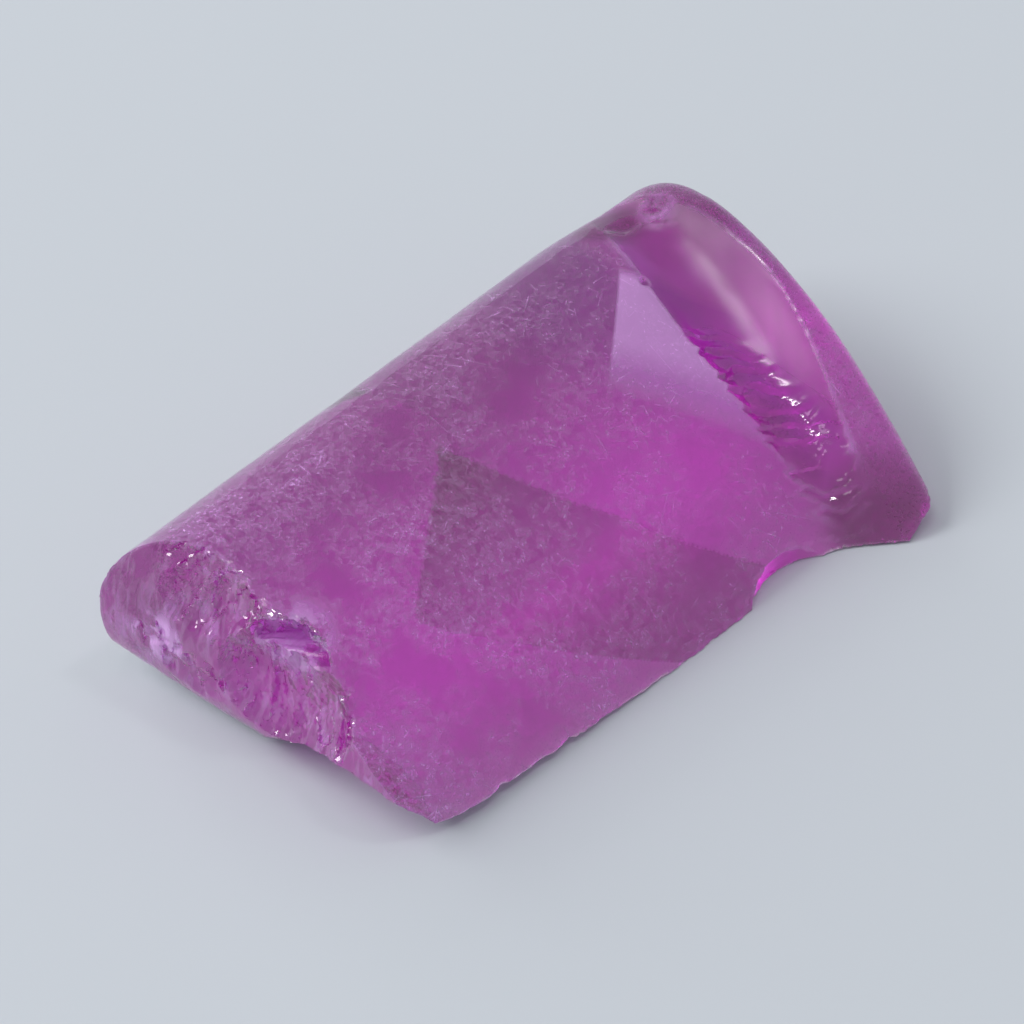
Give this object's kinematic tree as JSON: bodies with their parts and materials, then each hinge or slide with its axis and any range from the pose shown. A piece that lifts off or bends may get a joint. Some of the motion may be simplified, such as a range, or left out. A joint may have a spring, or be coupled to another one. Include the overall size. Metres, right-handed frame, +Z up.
{
  "type": "rough zircon crystal",
  "caption": "Rough pink-magenta crystal: a D-section broken length with a worn convex skin, a glassy fractured end, a domed end and a flat underside to lie on.",
  "frame": {"origin": "centre of the bounding box, on the surface that the stone lies on", "axes": "+X along the stone towards its domed end, -Y towards the broad worn skin, +Z up"},
  "size_m": [0.0275, 0.0166, 0.0076],
  "materials": {
    "zircon": "translucent, frosted on the worn skin and glassy on the fractures"
  },
  "bodies": {
    "root": {"zircon": "zircon"}
  },
  "joints": []
}
